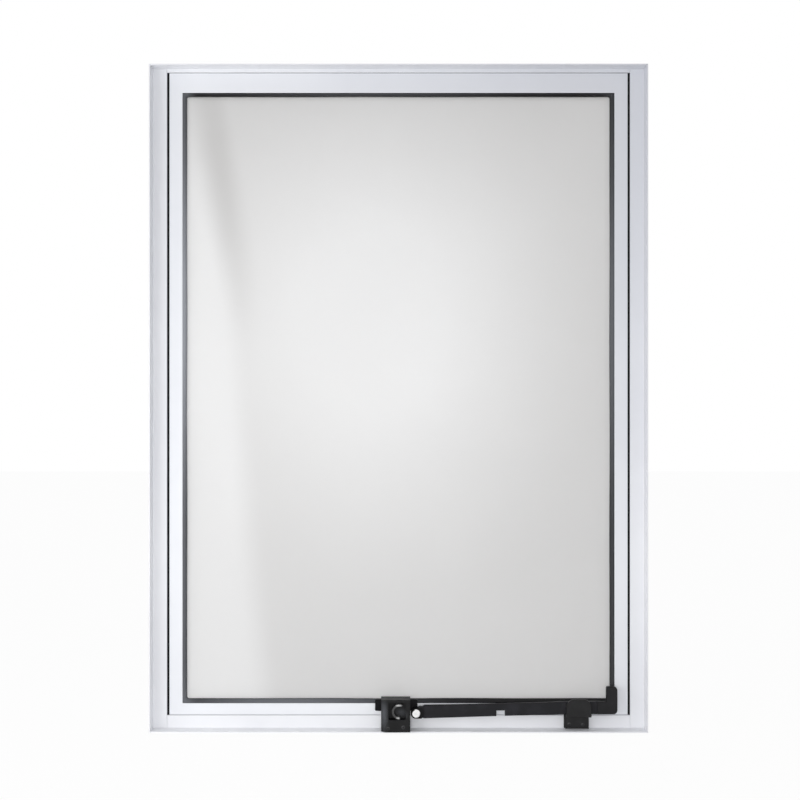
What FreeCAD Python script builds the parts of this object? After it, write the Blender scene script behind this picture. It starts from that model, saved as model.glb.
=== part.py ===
"""Top hung awning window: aluminium frame, outward sash, obscure pane and a black push-bar stay.

Frame of the part: +Z up, +X to the right as seen from the room, +Y out of doors. Y = 0 is the room face
of the frame, Z = 0 the underside of the sill, X = 0 the middle of the width. Millimetres.
"""

import FreeCAD, Part
import math
import os
import re
import Sketcher

# Driving sizes, one spreadsheet cell each

SIZES = {
    # Outer frame
    "frame_width": 600,
    "frame_height": 804,
    "frame_web": 1.6,
    "rim_depth": 20,
    "frame_back": 45,
    "jamb_face": 18.5,
    "sill_face": 16.7,
    "head_face": 5.9,
    "frame_box_depth": 26.4,
    "frame_wall": 1.6,
    "edge_round": 0.6,
    "joint_gap": 0.2,
    # Holes for the screws that hold the jambs to the wall
    "fixing_hole": 2.75,
    "fixing_low": 150,
    "fixing_high": 654,
    "fixing_depth": 16,
    # Sash
    "side_gap": 2.8,
    "bottom_gap": 0.5,
    "top_gap": 0.5,
    "sash_setback": 0.5,
    "sash_depth": 30,
    "sash_wall": 1.6,
    "stile_face": 16,
    "top_rail_face": 24,
    "bottom_rail_face": 14,
    "glazing_shelf": 7.5,
    "sash_flange": 7,
    # Hook hinge along the head
    "hinge_back": 37.5,
    "hinge_drop": 7.6,
    "bead_radius": 1.8,
    "hook_clearance": 0.3,
    "hook_wall": 1.5,
    "hook_lip": 1.2,
    # Pane, gaskets, beads and seals
    "inner_gasket_depth": 4.4,
    "glass_thickness": 5,
    "glass_edge_gap": 2,
    "outer_gasket_depth": 4,
    "gasket_lip": 5.3,
    "gasket_nose": 1.5,
    "gasket_rise": 0.8,
    "gasket_bite": 4,
    "outer_lip": 2.5,
    "bead_width": 8.5,
    "bead_slope_width": 4,
    "bead_slope_depth": 6,
    "bead_wall": 1.2,
    "setting_block_length": 40,
    "setting_block_spread": 300,
    "seal_clearance": 0.1,
    "seal_groove_start": 2,
    "seal_groove_depth": 1,
    "head_seal_start": 10,
    # Bracket on the bottom rail and its pin
    "pin_across": 21.05,
    "pin_rise": 4.4,
    "pin_radius": 3,
    "pin_clearance": 0.05,
    "pin_head_radius": 5.1,
    "pin_head_depth": 1.5,
    "pin_head_gap": 0.2,
    "bracket_left": 28.5,
    "bracket_past_pin": 1.9,
    "bracket_height": 13.8,
    "bracket_rise": 5.3,
    "bracket_thickness": 2.5,
    "lug_radius": 4.5,
    "spacer_depth": 5,
    # Stay bar
    "eye_radius": 6.2,
    "eye_depth": 1.5,
    "knuckle_reach": 8,
    "knuckle_above": 7.9,
    "knuckle_crown": 4.2,
    "knuckle_flat": 5.4,
    "knuckle_round": 2.4,
    "neck_below": 5.5,
    "neck_recess": 0.8,
    "bar_thickness": 4,
    "root_reach": 10.3,
    "root_below": 6.2,
    "root_above": 9.5,
    "middle_reach": 96.6,
    "middle_below": 3.5,
    "middle_above": 11.4,
    "rest_below": 1.3,
    "rest_above": 13.8,
    "end_below": 1.2,
    "end_above": 14.3,
    "notch_step": 0.6,
    "notch_width": 10.3,
    "notch_above": 3.2,
    "bar_chamfer": 0.6,
    # Grip at the free end of the bar
    "grip_thickness": 7,
    "grip_limb": 13.5,
    "grip_length": 24,
    "grip_inset": 14.3,
    "grip_rise": 32.2,
    "grip_round": 4.8,
    "grip_inner_round": 2.4,
    "grip_soft": 1.6,
    # Keeper that the bar rests in
    "keeper_reach": 62,
    "keeper_width": 30.1,
    "keeper_floor": 2.4,
    "keeper_rest_gap": 0.3,
    "keeper_front": 3.8,
    "keeper_front_gap": 1.2,
    "keeper_rise": 17.6,
    "keeper_lip": 4.1,
    "keeper_back": 3,
    "keeper_round": 10,
    "keeper_overhang": 1.9,
    "keeper_plate_shift": 1.6,
    "keeper_plate_thickness": 2.5,
    "plate_round": 1.5,
    "keeper_plate_round": 0.4,
    # Guide housing on the sill
    "foot_gap": 0.2,
    "housing_gap": 0.8,
    "housing_width": 35,
    "housing_height": 38.4,
    "housing_depth": 24,
    "housing_lip": 2.4,
    "housing_lip_depth": 0.6,
    "housing_bevel": 8.4,
    "housing_bevel_depth": 9,
    "foot_bevel": 4.2,
    "foot_bevel_depth": 4.5,
    "bevel_narrows_from": 14.2,
    "bevel_narrows_by": 8,
    "housing_edge": 1.2,
    "guide_inset": 8.8,
    "guide_width": 21,
    "guide_rise": 14.4,
    "guide_height": 21,
    "guide_depth": 12,
    "guide_round": 2,
    "hook_inset": 13.15,
    "hook_rise": 4,
    "hook_outside": 8.9,
    "hook_band": 2.4,
    "hook_depth": 9.5,
    "hook_upper_tip": 65,
    "hook_lower_tip": 85,
}

doc = FreeCAD.newDocument("awning_window")


def fill_sheet():
    """The spreadsheet of driving sizes: one plain number a row, named by its alias."""
    table = doc.addObject("Spreadsheet::Sheet", "Sizes")
    for row, (alias, value) in enumerate(SIZES.items(), start=1):
        table.set(f"A{row}", alias.replace("_", " "))
        table.set(f"B{row}", str(value))
        table.setAlias(f"B{row}", alias)
    doc.recompute()
    return table


def bound(text):
    """An expression in which every size's name points at its cell."""
    return re.sub(r"[a-z]+(?:_[a-z]+)+", lambda found: "Sizes." + found.group(0), text)


# Places that several pieces share, as expressions of the sizes

HALF_WIDTH = "(frame_width / 2)"
JAMB_EDGE = f"({HALF_WIDTH} - jamb_face)"
SASH_HALF = f"({JAMB_EDGE} - side_gap)"
SASH_LOW = "(sill_face + bottom_gap)"
SASH_TOP = "(frame_height - head_face - top_gap)"
SASH_BACK = "(sash_setback + sash_depth)"
LEG_BACK = "(sash_setback + sash_wall)"
GLASS_FRONT = f"({LEG_BACK} + inner_gasket_depth)"
GLASS_BACK = f"({GLASS_FRONT} + glass_thickness)"
BEAD_FRONT = f"({GLASS_BACK} + outer_gasket_depth)"
SEAL_ROUND = "(side_gap - seal_clearance)"
HINGE_UP = "(frame_height - hinge_drop)"
PLATE_FRONT = "(sash_setback - bracket_thickness)"
BAR_BACK = f"({PLATE_FRONT} - spacer_depth)"
BAR_FRONT = f"({BAR_BACK} - bar_thickness)"
EYE_FRONT = f"({BAR_FRONT} - eye_depth)"
FOOT = "(frame_web + foot_gap)"
PIN_UP = f"({SASH_LOW} + pin_rise)"
GRIP_END = f"({SASH_HALF} - grip_inset)"
BAR_END = f"({GRIP_END} - grip_length)"
KEEPER_LEFT = f"({GRIP_END} - keeper_reach)"
BAR_LOW = f"({PIN_UP} - rest_below)"
HOUSING_LEFT = "(pin_across - eye_radius - housing_gap - housing_width)"
HOUSING_TOP = f"({FOOT} + housing_height)"
GUIDE_LEFT = f"({HOUSING_LEFT} + guide_inset)"
GUIDE_LOW = f"({FOOT} + guide_rise)"
PLATE_RIGHT = f"({KEEPER_LEFT} + keeper_width - keeper_overhang)"
SHELF = "(sill_face - foot_gap)"
KEEPER_SEAT = f"({BAR_LOW} - keeper_rest_gap)"


# Sketches and features


def new_body(label):
    """An empty body that will be one piece and one file."""
    body = doc.addObject("PartDesign::Body", label)
    body.Label = label
    return body


def new_sketch(body, role, across="0", along="0", lift="0"):
    """A sketch on one of the body's origin planes, shifted in the plane and off it."""
    sketch = body.newObject("Sketcher::SketchObject", body.Label + "_sketch")
    plane = [item for item in body.Origin.OriginFeatures if item.Role == role][0]
    sketch.AttachmentSupport = [(plane, "")]
    sketch.MapMode = "FlatFace"
    sketch.setExpression("AttachmentOffset.Base.x", bound(across))
    sketch.setExpression("AttachmentOffset.Base.y", bound(along))
    sketch.setExpression("AttachmentOffset.Base.z", bound(lift))
    return sketch


def value_of(sketch, text):
    """The present value of an expression, as a plain number."""
    return float(sketch.evalExpression(bound(text)))


def soften(sketch, corners):
    """The corners with each square one that has a radius split into the two ends of its arc.

    A corner is (x, y) or (x, y, radius). The edges at a softened corner run along the sketch's axes. What
    comes back is a list of (x, y, radius, turn), where radius belongs to the edge that starts there.
    """
    places = [(value_of(sketch, c[0]), value_of(sketch, c[1])) for c in corners]
    result = []
    for index, corner in enumerate(corners):
        if len(corner) != 3:
            result.append((corner[0], corner[1], corner[3], corner[4]) if len(corner) == 5 else corner)
            continue
        here = places[index]
        ways = []
        for other in (places[index - 1], places[(index + 1) % len(places)]):
            gap = (other[0] - here[0], other[1] - here[1])
            longest = max(abs(gap[0]), abs(gap[1]))
            ways.append((round(gap[0] / longest), round(gap[1] / longest)))
        (back_x, back_y), (next_x, next_y) = ways
        turn = 1 if (-back_x) * next_y - (-back_y) * next_x > 0 else -1
        radius = corner[2]
        start = (f"{corner[0]} + {back_x} * {radius}", f"{corner[1]} + {back_y} * {radius}")
        end = (f"{corner[0]} + {next_x} * {radius}", f"{corner[1]} + {next_y} * {radius}")
        result += [(*start, radius, turn), end]
    return result


def arc_between(start, end, radius, turn):
    """The short arc from start to end, turning left for +1 and right for -1."""
    chord = end - start
    reach = math.sqrt(max(radius**2 - (chord.Length / 2) ** 2, 0.0))
    side = FreeCAD.Vector(-chord.y, chord.x, 0).normalize() * turn
    centre = (start + end) / 2 + side * reach
    circle = Part.Circle(centre, FreeCAD.Vector(0, 0, 1), radius)
    first, last = (start, end) if turn > 0 else (end, start)
    angles = [math.atan2(p.y - centre.y, p.x - centre.x) for p in (first, last)]
    if angles[1] <= angles[0]:
        angles[1] += 2 * math.pi
    return Part.ArcOfCircle(circle, angles[0], angles[1])


def add_outline(sketch, corners):
    """A closed outline whose every corner is tied to the sheet.

    A corner is (x, y), (x, y, radius) for a softened square corner, or (x, y, "arc", radius, turn) where an
    arc of that radius runs from it to the next corner.
    """
    corners = soften(sketch, corners)
    points = [FreeCAD.Vector(value_of(sketch, c[0]), value_of(sketch, c[1]), 0) for c in corners]
    first = sketch.GeometryCount
    count = len(corners)
    heads = []
    for index, corner in enumerate(corners):
        start, end = points[index], points[(index + 1) % count]
        if len(corner) == 4:
            sketch.addGeometry(arc_between(start, end, value_of(sketch, corner[2]), corner[3]), False)
            heads.append(1 if corner[3] > 0 else 2)
        else:
            sketch.addGeometry(Part.LineSegment(start, end), False)
            heads.append(1)
    for index in range(count):
        following = (index + 1) % count
        sketch.addConstraint(
            Sketcher.Constraint(
                "Coincident", first + index, 3 - heads[index], first + following, heads[following]
            )
        )
    for index, corner in enumerate(corners):
        edge = first + index
        tie(sketch, Sketcher.Constraint("DistanceX", edge, heads[index], points[index].x), corner[0])
        tie(sketch, Sketcher.Constraint("DistanceY", edge, heads[index], points[index].y), corner[1])
        if len(corner) == 4:
            tie(sketch, Sketcher.Constraint("Radius", edge, value_of(sketch, corner[2])), corner[2])


def add_circle(sketch, across, along, radius):
    """A circle whose centre and radius are tied to the sheet."""
    centre = FreeCAD.Vector(value_of(sketch, across), value_of(sketch, along), 0)
    size = value_of(sketch, radius)
    edge = sketch.addGeometry(Part.Circle(centre, FreeCAD.Vector(0, 0, 1), size), False)
    tie(sketch, Sketcher.Constraint("DistanceX", edge, 3, centre.x), across)
    tie(sketch, Sketcher.Constraint("DistanceY", edge, 3, centre.y), along)
    tie(sketch, Sketcher.Constraint("Radius", edge, size), radius)


def tie(sketch, constraint, text):
    """Adds a constraint and binds it to an expression of the sheet."""
    index = sketch.addConstraint(constraint)
    sketch.setExpression(f"Constraints[{index}]", bound(text))


def pad(body, sketch, length, centred=False, backward=False):
    """A pad of the sketch, to one side or evenly to both."""
    feature = body.newObject("PartDesign::Pad", body.Label + "_pad")
    feature.Profile = sketch
    feature.SideType = "Symmetric" if centred else "One side"
    feature.Reversed = backward
    feature.setExpression("Length", bound(length))
    sketch.Visibility = False
    doc.recompute()
    return feature


def pocket(body, sketch, length, centred=False, backward=False):
    """A cut of the sketch; it must take material away."""
    doc.recompute()
    before = body.Shape.Volume
    feature = body.newObject("PartDesign::Pocket", body.Label + "_pocket")
    feature.Profile = sketch
    feature.SideType = "Symmetric" if centred else "One side"
    feature.Reversed = backward
    feature.setExpression("Length", bound(length))
    doc.recompute()
    if body.Shape.Volume >= before:
        raise RuntimeError(f"a cut in {body.Label} takes nothing away")
    return feature


def edges_where(feature, wanted):
    """The names of the feature's edges that the test picks."""
    return [f"Edge{i}" for i, edge in enumerate(feature.Shape.Edges, start=1) if wanted(edge)]


def dress(body, kind, base, names, size):
    """A fillet or chamfer of the named edges."""
    feature = body.newObject("PartDesign::" + kind, body.Label + "_" + kind.lower())
    feature.Base = (base, names)
    feature.setExpression("Radius" if kind == "Fillet" else "Size", bound(size))
    doc.recompute()
    return feature


def lies_at(edge, axis, place, tolerance=0.01):
    """True where the whole edge lies at one place along an axis."""
    low = getattr(edge.BoundBox, axis + "Min")
    high = getattr(edge.BoundBox, axis + "Max")
    return abs(low - place) < tolerance and abs(high - place) < tolerance


# Outer frame


def jamb_across(side, distance):
    """X of a distance inward from the outer face of the left (-1) or right (+1) jamb."""
    return f"{side} * ({HALF_WIDTH} - ({distance}))"


def jamb(label, side):
    """A full-height jamb: outer web with its rim toward the room, and a hollow box beside the sash."""
    body = new_body(label)
    section = new_sketch(body, "XY_Plane")
    groove_end = f"(seal_groove_start + 2 * {SEAL_ROUND})"
    groove_floor = "jamb_face - seal_groove_depth"
    outline = [
        ("0", "-rim_depth", "edge_round"),
        ("frame_web", "-rim_depth", "edge_round"),
        ("frame_web", "0"),
        ("jamb_face", "0", "edge_round"),
        ("jamb_face", "seal_groove_start"),
        (groove_floor, "seal_groove_start"),
        (groove_floor, groove_end),
        ("jamb_face", groove_end),
        ("jamb_face", "frame_box_depth"),
        ("frame_web", "frame_box_depth"),
        ("frame_web", "frame_back"),
        ("0", "frame_back"),
    ]
    chamber_edge = f"{groove_floor} - frame_wall"
    chamber = [
        ("frame_web", "frame_wall"),
        (chamber_edge, "frame_wall"),
        (chamber_edge, "frame_box_depth - frame_wall"),
        ("frame_web", "frame_box_depth - frame_wall"),
    ]
    for loop in (outline, chamber):
        add_outline(section, [(jamb_across(side, c[0]), *c[1:]) for c in loop])
    pad(body, section, "frame_height")
    holes = new_sketch(body, "YZ_Plane")
    for height in ("fixing_low", "fixing_high"):
        add_circle(holes, "fixing_depth", height, "fixing_hole")
    pocket(body, holes, f"{HALF_WIDTH} + frame_web", backward=side > 0)


def frame_rail(label, section, height):
    """A head or sill: its section between the jamb boxes, its web coped out to the jamb webs.

    height turns a distance from the outer face into Z.
    """
    body = new_body(label)
    main = new_sketch(body, "YZ_Plane")
    for loop in section:
        add_outline(main, [(c[0], height(c[1]), *c[2:]) for c in loop])
    pad(body, main, f"2 * ({JAMB_EDGE} - joint_gap)", centred=True)
    strips = new_sketch(body, "YZ_Plane")
    for start, end in (("-rim_depth", "-joint_gap"), ("frame_box_depth + joint_gap", "frame_back")):
        corners = ((start, "0"), (end, "0"), (end, "frame_web"), (start, "frame_web"))
        add_outline(strips, [(depth, height(distance)) for depth, distance in corners])
    pad(body, strips, f"2 * ({HALF_WIDTH} - frame_web - joint_gap)", centred=True)


def frame_sill():
    """The sill: a hollow box under the sash."""
    outline = [
        ("-rim_depth", "0"),
        ("-rim_depth", "frame_web"),
        ("0", "frame_web"),
        ("0", "sill_face", "edge_round"),
        ("frame_box_depth", "sill_face"),
        ("frame_box_depth", "frame_web"),
        ("frame_back", "frame_web"),
        ("frame_back", "0"),
    ]
    chamber = [
        ("frame_wall", "frame_web"),
        ("frame_wall", "sill_face - frame_wall"),
        ("frame_box_depth - frame_wall", "sill_face - frame_wall"),
        ("frame_box_depth - frame_wall", "frame_web"),
    ]
    frame_rail("frame_sill", (outline, chamber), lambda distance: distance)


def frame_head():
    """The head: a short leg that hides the gap, and a hanger whose bead carries the sash's hook."""
    neck = "bead_radius / 2"
    neck_top = "hinge_drop + bead_radius * cos(30)"
    foot_top = "hinge_drop + 2 * bead_radius"
    foot_low = f"{foot_top} + frame_wall"
    outline = [
        ("-rim_depth", "0"),
        ("-rim_depth", "frame_web"),
        ("0", "frame_web"),
        ("0", "head_face", "edge_round"),
        ("frame_wall", "head_face"),
        ("frame_wall", "frame_web"),
        ("frame_back - frame_wall", "frame_web"),
        ("frame_back - frame_wall", foot_top),
        (f"hinge_back + {neck}", foot_top),
        (f"hinge_back + {neck}", neck_top, "arc", "bead_radius", 1),
        ("hinge_back + bead_radius", "hinge_drop", "arc", "bead_radius", 1),
        ("hinge_back", "hinge_drop - bead_radius", "arc", "bead_radius", 1),
        ("hinge_back - bead_radius", "hinge_drop", "arc", "bead_radius", 1),
        (f"hinge_back - {neck}", neck_top),
        (f"hinge_back - {neck}", foot_low),
        ("frame_back", foot_low),
        ("frame_back", "0"),
    ]
    frame_rail("frame_head", (outline,), lambda distance: f"frame_height - ({distance})")


# Sash


SIDES = ("left", "right", "bottom", "top")


def sash_place(side, distance):
    """X or Z of a distance inward from the sash's outer edge on one side."""
    return {
        "left": f"-({SASH_HALF} - ({distance}))",
        "right": f"{SASH_HALF} - ({distance})",
        "bottom": f"{SASH_LOW} + ({distance})",
        "top": f"{SASH_TOP} - ({distance})",
    }[side]


def face_of(side):
    """How wide the sash member shows from the room on one side."""
    return {"top": "top_rail_face", "bottom": "bottom_rail_face"}.get(side, "stile_face")


def upright(side):
    return side in ("left", "right")


def strip_sketch(body, side, loops):
    """The section of a member or strip on one side of the sash, in (distance inward, depth)."""
    if upright(side):
        sketch = new_sketch(body, "XY_Plane")
        for loop in loops:
            add_outline(sketch, [(sash_place(side, c[0]), *c[1:]) for c in loop])
    else:
        sketch = new_sketch(body, "YZ_Plane")
        for loop in loops:
            add_outline(sketch, [(c[1], sash_place(side, c[0]), *flipped(c[2:])) for c in loop])
    return sketch


def flipped(extra):
    """The arc marks of a corner whose two coordinates change places."""
    return (extra[0], extra[1], -extra[2]) if len(extra) == 3 else extra


def run_strip(body, side, loops, spare):
    """Pads a strip's section past the corners of the sash, up to its top, ready to be mitred."""
    sketch = strip_sketch(body, side, loops)
    if upright(side):
        sketch.setExpression("AttachmentOffset.Base.z", bound(f"{SASH_LOW} - {spare}"))
        pad(body, sketch, f"{SASH_TOP} - {SASH_LOW} + {spare}")
    else:
        pad(body, sketch, f"2 * ({SASH_HALF} + {spare})", centred=True)


def mitre(body, side, outer, reach):
    """Cuts both ends of a strip along lines from the sash's outer corners to its inner ones.

    outer is how far the strip reaches outside the sash's edge, reach how far inside it.
    """
    cut = new_sketch(body, "XZ_Plane")
    for end in ("bottom", "top") if upright(side) else ("left", "right"):
        across, along = (side, end) if upright(side) else (end, side)
        slope = f"({face_of(along)} / stile_face)"
        inner = f"({reach})" if upright(side) else f"({reach}) / {slope}"
        past = f"({outer})" if upright(side) else f"({outer}) / {slope}"
        near = (sash_place(across, f"-{past}"), sash_place(along, f"-{past} * {slope}"))
        far = (sash_place(across, inner), sash_place(along, f"{inner} * {slope}"))
        if upright(side):
            beyond = sash_place(along, f"-2 * ({outer})")
            square = [(far[0], beyond), (near[0], beyond)]
        else:
            beyond = sash_place(across, f"-2 * ({outer})")
            square = [(beyond, far[1]), (beyond, near[1])]
        add_outline(cut, [near, far, *square])
    pocket(body, cut, f"4 * {SASH_BACK}", centred=True)


def sash_member(label, side):
    """A stile or rail of the sash: hollow box, glazing leg toward the room, flange outdoors."""
    body = new_body(label)
    face = face_of(side)
    box = f"({face} - glazing_shelf)"
    flange = "0" if side == "top" else "-sash_flange"
    outline = [
        ("0", "sash_setback", "edge_round"),
        (face, "sash_setback", "edge_round"),
        (face, LEG_BACK),
        (box, LEG_BACK),
        (box, SASH_BACK),
    ]
    if side == "top":
        outline.append(("0", SASH_BACK))
    else:
        front = f"{SASH_BACK} - sash_wall"
        outline += [(flange, SASH_BACK), (flange, front), ("0", front)]
    chamber = [
        ("sash_wall", LEG_BACK),
        (f"{box} - sash_wall", LEG_BACK),
        (f"{box} - sash_wall", f"{SASH_BACK} - sash_wall"),
        ("sash_wall", f"{SASH_BACK} - sash_wall"),
    ]
    run_strip(body, side, (outline, chamber), "sash_flange")
    mitre(body, side, "2 * sash_flange", f"{face} + sash_flange")
    if side == "top":
        hinge_hook(body)


def hinge_hook(body):
    """The curved hook along the top rail, hung over the head's bead."""
    inner = "(bead_radius + hook_clearance)"
    outer = f"({inner} + hook_wall)"
    over = [f"hinge_back + {offset}" for offset in (outer, inner, f"(0 - {inner})", f"(0 - {outer})")]
    lip = f"{HINGE_UP} - hook_lip"
    strip_top = SASH_TOP
    hook = new_sketch(body, "YZ_Plane")
    add_outline(
        hook,
        [
            (over[0], lip),
            (over[0], HINGE_UP, "arc", outer, 1),
            ("hinge_back", f"{HINGE_UP} + {outer}", "arc", outer, 1),
            (over[3], HINGE_UP),
            (over[3], f"{strip_top} - hook_wall / 2"),
            (SASH_BACK, f"{strip_top} - hook_wall / 2"),
            (SASH_BACK, f"{strip_top} - 3 * hook_wall / 2"),
            (over[3], f"{strip_top} - 3 * hook_wall / 2"),
            (over[2], f"{strip_top} - 3 * hook_wall / 2"),
            (over[2], HINGE_UP, "arc", inner, -1),
            ("hinge_back", f"{HINGE_UP} + {inner}", "arc", inner, -1),
            (over[1], HINGE_UP),
            (over[1], lip),
        ],
    )
    pad(body, hook, f"2 * {SASH_HALF}", centred=True)


# Glazing


def glass_pane():
    """The pane, set in the four glazing pockets."""
    body = new_body("glass_pane")
    sketch = new_sketch(body, "XZ_Plane", lift=f"-{GLASS_FRONT}")
    edge = {side: sash_place(side, f"{face_of(side)} - glazing_shelf + glass_edge_gap") for side in SIDES}
    corners = [("left", "bottom"), ("right", "bottom"), ("right", "top"), ("left", "top")]
    add_outline(sketch, [(edge[a], edge[b]) for a, b in corners])
    pad(body, sketch, "glass_thickness", backward=True)


def setting_blocks():
    """Two blocks in the bottom pocket that carry the pane."""
    body = new_body("setting_blocks")
    sketch = new_sketch(body, "XZ_Plane", lift=f"-{GLASS_FRONT}")
    low = sash_place("bottom", f"{face_of('bottom')} - glazing_shelf")
    high = f"{low} + glass_edge_gap"
    for side in (-1, 1):
        near = f"{side} * setting_block_spread / 2"
        far = f"{side} * (setting_block_spread / 2 + setting_block_length)"
        add_outline(sketch, [(near, low), (far, low), (far, high), (near, high)])
    pad(body, sketch, "glass_thickness", backward=True)


def glazing_strip(label, side, loops, start, reach):
    """A strip in front of or behind the pane, mitred along 45 degree lines at its own corners."""
    body = new_body(label)
    shift = f"{face_of(side)} - stile_face"
    run_strip(body, side, [[(f"{shift} + {c[0]}", *c[1:]) for c in loop] for loop in loops], "sash_flange")
    cut = new_sketch(body, "XZ_Plane")
    for end in ("bottom", "top") if upright(side) else ("left", "right"):
        across, along = (side, end) if upright(side) else (end, side)
        offset = f"{face_of(along)} - stile_face"
        near = (sash_place(across, start), sash_place(along, f"{offset} + {start}"))
        far = (sash_place(across, reach), sash_place(along, f"{offset} + {reach}"))
        beyond = sash_place(along if upright(side) else across, "-2 * sash_flange")
        if upright(side):
            square = [(far[0], beyond), (near[0], beyond)]
        else:
            square = [(beyond, far[1]), (beyond, near[1])]
        add_outline(cut, [near, far, *square])
    pocket(body, cut, f"4 * {SASH_BACK}", centred=True)


def inner_gasket(side):
    """The black wedge gasket between the sash's leg and the pane, with a rounded nose."""
    face = "stile_face"
    back = f"{face} - gasket_bite"
    nose = f"{LEG_BACK} - gasket_rise"
    curve = "(gasket_lip - gasket_nose)"
    tip = f"{face} + gasket_lip"
    arc_turn = {"left": 1, "right": -1, "bottom": 1, "top": -1}[side]
    outline = [
        (back, LEG_BACK),
        (face, LEG_BACK),
        (face, nose),
        (f"{face} + gasket_nose", nose, "arc", curve, arc_turn),
        (tip, f"{nose} + {curve}"),
        (tip, GLASS_FRONT),
        (back, GLASS_FRONT),
    ]
    glazing_strip(f"inner_gasket_{side}", side, [outline], f"{face} - gasket_bite - 1", f"{tip} + 1")


def outer_gasket(side):
    """The gasket between the pane and the glazing bead."""
    back = "stile_face - gasket_bite"
    edge = "stile_face - glazing_shelf + bead_width"
    outline = [
        (back, GLASS_BACK),
        (f"{edge} + outer_lip", GLASS_BACK),
        (edge, BEAD_FRONT),
        (back, BEAD_FRONT),
    ]
    glazing_strip(f"outer_gasket_{side}", side, [outline], f"{back} - 1", f"{edge} + outer_lip + 1")


def glazing_bead(side):
    """The hollow snap-in bead that holds the pane from outdoors."""
    box = "stile_face - glazing_shelf"
    edge = f"{box} + bead_width"
    outline = [
        (box, BEAD_FRONT),
        (edge, BEAD_FRONT),
        (edge, f"{SASH_BACK} - bead_slope_depth"),
        (f"{edge} - bead_slope_width", SASH_BACK),
        (box, SASH_BACK),
    ]
    chamber = [
        (f"{box} + bead_wall", f"{BEAD_FRONT} + bead_wall"),
        (f"{edge} - bead_wall", f"{BEAD_FRONT} + bead_wall"),
        (f"{edge} - bead_wall", f"{SASH_BACK} - bead_slope_depth - bead_wall / 2"),
        (f"{edge} - bead_slope_width - bead_wall / 2", f"{SASH_BACK} - bead_wall"),
        (f"{box} + bead_wall", f"{SASH_BACK} - bead_wall"),
    ]
    glazing_strip(f"glazing_bead_{side}", side, [outline, chamber], f"{box} - 1", f"{edge} + 1")


# Weather seals


def jamb_seal(label, side):
    """The black bulb seal in a jamb's groove, which closes the slit beside the sash."""
    body = new_body(label)
    sketch = new_sketch(body, "XY_Plane")
    start = "seal_groove_start"
    middle = f"{start} + {SEAL_ROUND}"
    end = f"{start} + 2 * {SEAL_ROUND}"
    foot = "jamb_face - seal_groove_depth"
    outline = [
        (foot, start),
        ("jamb_face", start, "arc", SEAL_ROUND, -side),
        (f"jamb_face + {SEAL_ROUND}", middle, "arc", SEAL_ROUND, -side),
        ("jamb_face", end),
        (foot, end),
    ]
    add_outline(sketch, [(jamb_across(side, c[0]), *c[1:]) for c in outline])
    sketch.setExpression("AttachmentOffset.Base.z", bound("sill_face"))
    pad(body, sketch, "frame_height - head_face - sill_face")


def head_seal():
    """The bulb seal under the head's web, closing the gap over the top rail."""
    body = new_body("weather_seal_head")
    sketch = new_sketch(body, "YZ_Plane")
    top = "frame_height - frame_web"
    radius = f"(({top} - {SASH_TOP} - seal_clearance) / 2)"
    low = f"{top} - {radius}"
    end = f"head_seal_start + 2 * {radius}"
    add_outline(
        sketch,
        [
            ("head_seal_start", top),
            ("head_seal_start", low, "arc", radius, 1),
            (f"head_seal_start + {radius}", f"{low} - {radius}", "arc", radius, 1),
            (end, low),
            (end, top),
        ],
    )
    pad(body, sketch, f"2 * ({JAMB_EDGE} - joint_gap)", centred=True)


def sill_seal():
    """The flat seal between the sill's box and the bottom rail's outdoor flange."""
    body = new_body("weather_seal_sill")
    sketch = new_sketch(body, "YZ_Plane")
    back = f"{SASH_BACK} - sash_wall - seal_clearance"
    low = f"{SASH_LOW} - sash_flange"
    add_outline(
        sketch,
        [("frame_box_depth", low), (back, low), (back, "sill_face"), ("frame_box_depth", "sill_face")],
    )
    pad(body, sketch, f"2 * ({SASH_HALF} - sash_wall)", centred=True)


# Stay: bracket, pin, bar, grip


def sash_bracket():
    """The black plate on the bottom rail, with a lug and spacer round the pin."""
    body = new_body("sash_bracket")
    sketch = new_sketch(body, "XZ_Plane", lift="-sash_setback")
    right = "pin_across + lug_radius"
    left = "pin_across - lug_radius"
    edge = "pin_across + bracket_past_pin"
    shoulder = f"{PIN_UP} + lug_radius"
    low = f"{SASH_LOW} + bracket_rise"
    top = f"{low} + bracket_height"
    add_outline(
        sketch,
        [
            ("-bracket_left", low, "plate_round"),
            ("-bracket_left", top, "plate_round"),
            (edge, top, "plate_round"),
            (edge, shoulder),
            (right, shoulder),
            (right, PIN_UP, "arc", "lug_radius", -1),
            ("pin_across", f"{PIN_UP} - lug_radius", "arc", "lug_radius", -1),
            (left, PIN_UP),
            (left, low),
        ],
    )
    pad(body, sketch, "bracket_thickness")
    spacer = new_sketch(body, "XZ_Plane", lift=f"-{PLATE_FRONT}")
    add_circle(spacer, "pin_across", PIN_UP, "lug_radius")
    pad(body, spacer, "spacer_depth")
    bore = new_sketch(body, "XZ_Plane", lift=f"-{BAR_BACK}")
    add_circle(bore, "pin_across", PIN_UP, "pin_radius + pin_clearance")
    pocket(body, bore, "spacer_depth + bracket_thickness")


def pivot_pin():
    """The bright pin: a shank through bar and bracket with a low domed head."""
    body = new_body("pivot_pin")
    sketch = new_sketch(body, "XY_Plane", across="pin_across", lift=PIN_UP)
    under = f"({EYE_FRONT} - pin_head_gap)"
    front = f"({under} - pin_head_depth)"
    add_outline(
        sketch,
        [
            ("0", front),
            ("0", "sash_setback"),
            ("pin_radius", "sash_setback"),
            ("pin_radius", under),
            ("pin_head_radius", under),
            ("pin_head_radius", f"{front} + pin_head_depth / 2"),
            ("pin_head_radius - pin_head_depth / 2", front),
        ],
    )
    turned = body.newObject("PartDesign::Revolution", "pivot_pin_turned")
    turned.Profile = sketch
    turned.ReferenceAxis = (sketch, ["V_Axis"])
    turned.Angle = 360
    doc.recompute()


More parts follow.
